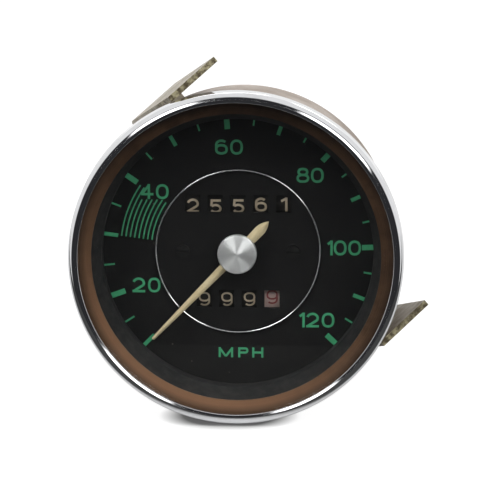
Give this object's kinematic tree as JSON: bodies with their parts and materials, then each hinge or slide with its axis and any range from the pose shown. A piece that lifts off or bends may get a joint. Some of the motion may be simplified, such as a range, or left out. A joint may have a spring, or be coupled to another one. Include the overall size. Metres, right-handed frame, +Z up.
{
  "type": "vintage speedometer",
  "caption": "Round mechanical dashboard speedometer: chromed bezel, black dial, sprung pointer, odometer and trip counter, cable drive and loose U mounting bracket.",
  "frame": {"origin": "on the gauge's axis, in the plane of the bezel's rear face where it meets the dash", "axes": "dial faces -Y, +Y runs back along the drive cable, +Z up, +X to the right seen from the front"},
  "size_m": [0.1145, 0.0941, 0.1155],
  "materials": {
    "case_finish": "matt, aged",
    "bezel_chrome": "polished",
    "lens_glass": "clear",
    "gasket_rubber": "matt",
    "mask_brown": "satin",
    "surround_grey": "matt",
    "dial_black": "matt with printed scale",
    "trim_chrome": "polished",
    "screw_black": "satin",
    "cast_zinc": "as cast",
    "screw_steel": "zinc plated",
    "pointer_cream": "satin",
    "hub_aluminium": "spun",
    "shaft_steel": "ground",
    "spring_bronze": "bright",
    "magnet_iron": "plain",
    "gear_brass": "machined",
    "drum_black": "matt with printed numbers",
    "drum_white": "matt with printed numbers",
    "knob_black": "moulded",
    "lamp_body": "moulded",
    "bulb_glass": "clear",
    "bracket_steel": "dull zinc",
    "nut_steel": "knurled"
  },
  "bodies": {
    "case": {"case_can": "case_finish", "bezel_ring": "bezel_chrome", "glass_lens": "lens_glass", "lens_gasket": "gasket_rubber", "mask_ring": "mask_brown", "dial_surround": "surround_grey", "dial_plate": "dial_black", "dial_trim_ring": "trim_chrome", "dial_screws": "screw_black", "movement_frame": "cast_zinc", "movement_screws": "screw_steel", "hair_spring": "spring_bronze", "drive_bush": "gear_brass", "cable_connector": "cast_zinc", "odometer_axle": "shaft_steel", "odometer_plates": "shaft_steel", "trip_plates": "shaft_steel", "lamp_holders": "lamp_body", "lamp_bulbs": "bulb_glass", "mounting_studs": "screw_steel"},
    "pointer": {"needle": "pointer_cream", "needle_hub_cap": "hub_aluminium", "needle_staff": "shaft_steel", "speed_cup": "hub_aluminium"},
    "drive": {"drive_shaft": "shaft_steel", "drive_magnet": "magnet_iron"},
    "cross": {"cross_shaft": "shaft_steel", "cross_wheel": "gear_brass"},
    "odometer_reduction": {"odometer_layshaft": "shaft_steel", "odometer_worm_wheel": "gear_brass", "odometer_idler": "gear_brass"},
    "trip_reduction": {"trip_layshaft": "shaft_steel", "trip_worm_wheel": "gear_brass", "trip_idler": "gear_brass"},
    "odometer_1": {"odometer_drum_1": "drum_black"},
    "odometer_2": {"odometer_drum_2": "drum_black"},
    "odometer_3": {"odometer_drum_3": "drum_black"},
    "odometer_4": {"odometer_drum_4": "drum_black"},
    "odometer_5": {"odometer_drum_5": "drum_black", "odometer_gear": "gear_brass"},
    "trip_1": {"trip_drum_1": "drum_black"},
    "trip_2": {"trip_drum_2": "drum_black"},
    "trip_3": {"trip_drum_3": "drum_black"},
    "trip_4": {"trip_drum_4": "drum_white", "trip_gear": "gear_brass"},
    "trip_reset_axle": {"trip_axle": "shaft_steel", "trip_crown_wheel": "gear_brass"},
    "reset": {"reset_shaft": "shaft_steel", "reset_knob": "knob_black"},
    "bracket": {"bracket": "bracket_steel"},
    "nut_upper": {"nut_upper": "nut_steel"},
    "nut_lower": {"nut_lower": "nut_steel"}
  },
  "joints": [
    {"name": "pointer_sweep", "type": "hinge", "parent": "case", "child": "pointer", "pos_m": [0, 0, 0], "axis": [0, 1, 0], "range_deg": [0, 270], "stiffness_Nm_per_rad": 0.0002, "springref_deg": -17.19},
    {"name": "drive_spin", "type": "hinge", "parent": "case", "child": "drive", "pos_m": [0, 0, 0], "axis": [0, -1, 0], "continuous": true},
    {"name": "cross_spin", "type": "hinge", "parent": "case", "child": "cross", "pos_m": [0.0059, 0.0425, 0], "axis": [0, 0, 1], "continuous": true},
    {"name": "odometer_reduction_spin", "type": "hinge", "parent": "case", "child": "odometer_reduction", "pos_m": [0, 0.0366, 0.0155], "axis": [1, 0, 0], "continuous": true},
    {"name": "odometer_5_spin", "type": "hinge", "parent": "case", "child": "odometer_5", "pos_m": [0, 0.0189, 0.0155], "axis": [1, 0, 0], "continuous": true},
    {"name": "odometer_4_spin", "type": "hinge", "parent": "case", "child": "odometer_4", "pos_m": [0, 0.0189, 0.0155], "axis": [1, 0, 0], "continuous": true},
    {"name": "odometer_3_spin", "type": "hinge", "parent": "case", "child": "odometer_3", "pos_m": [0, 0.0189, 0.0155], "axis": [1, 0, 0], "continuous": true},
    {"name": "odometer_2_spin", "type": "hinge", "parent": "case", "child": "odometer_2", "pos_m": [0, 0.0189, 0.0155], "axis": [1, 0, 0], "continuous": true},
    {"name": "odometer_1_spin", "type": "hinge", "parent": "case", "child": "odometer_1", "pos_m": [0, 0.0189, 0.0155], "axis": [1, 0, 0], "continuous": true},
    {"name": "trip_reduction_spin", "type": "hinge", "parent": "case", "child": "trip_reduction", "pos_m": [0, 0.0366, -0.0155], "axis": [1, 0, 0], "continuous": true},
    {"name": "trip_4_spin", "type": "hinge", "parent": "case", "child": "trip_4", "pos_m": [0, 0.0189, -0.0155], "axis": [1, 0, 0], "continuous": true},
    {"name": "trip_3_spin", "type": "hinge", "parent": "case", "child": "trip_3", "pos_m": [0, 0.0189, -0.0155], "axis": [1, 0, 0], "continuous": true},
    {"name": "trip_2_spin", "type": "hinge", "parent": "case", "child": "trip_2", "pos_m": [0, 0.0189, -0.0155], "axis": [1, 0, 0], "continuous": true},
    {"name": "trip_1_spin", "type": "hinge", "parent": "case", "child": "trip_1", "pos_m": [0, 0.0189, -0.0155], "axis": [1, 0, 0], "continuous": true},
    {"name": "reset_spin", "type": "hinge", "parent": "case", "child": "reset", "pos_m": [-0.0236, 0, -0.0155], "axis": [0, -1, 0], "continuous": true},
    {"name": "trip_axle_spin", "type": "hinge", "parent": "case", "child": "trip_reset_axle", "pos_m": [0, 0.0189, -0.0155], "axis": [1, 0, 0], "continuous": true},
    {"name": "bracket_rock", "type": "hinge", "parent": "case", "child": "bracket", "pos_m": [0, 0.069, 0], "axis": [-0.6561, 0, 0.7547], "range_deg": [-40, 10]},
    {"name": "nut_upper_turn", "type": "hinge", "parent": "case", "child": "nut_upper", "pos_m": [-0.01837, 0, 0.02113], "axis": [0, 1, 0], "continuous": true},
    {"name": "nut_lower_turn", "type": "hinge", "parent": "case", "child": "nut_lower", "pos_m": [0.01837, 0, -0.02113], "axis": [0, 1, 0], "continuous": true}
  ],
  "couplings": [
    {"joint": "cross_spin", "follows": "drive_spin", "ratio": -0.071429},
    {"joint": "odometer_reduction_spin", "follows": "drive_spin", "ratio": 0.005102},
    {"joint": "odometer_5_spin", "follows": "drive_spin", "ratio": -0.004932},
    {"joint": "odometer_4_spin", "follows": "drive_spin", "ratio": -0.0004932},
    {"joint": "odometer_3_spin", "follows": "drive_spin", "ratio": -0.00004932},
    {"joint": "odometer_2_spin", "follows": "drive_spin", "ratio": -0.000004932},
    {"joint": "odometer_1_spin", "follows": "drive_spin", "ratio": -0.0000004932},
    {"joint": "trip_reduction_spin", "follows": "drive_spin", "ratio": 0.005102},
    {"joint": "trip_4_spin", "follows": "drive_spin", "ratio": -0.004932},
    {"joint": "trip_3_spin", "follows": "drive_spin", "ratio": -0.0004932},
    {"joint": "trip_2_spin", "follows": "drive_spin", "ratio": -0.00004932},
    {"joint": "trip_1_spin", "follows": "drive_spin", "ratio": -0.000004932},
    {"joint": "trip_axle_spin", "follows": "reset_spin", "ratio": 0.5}
  ]
}
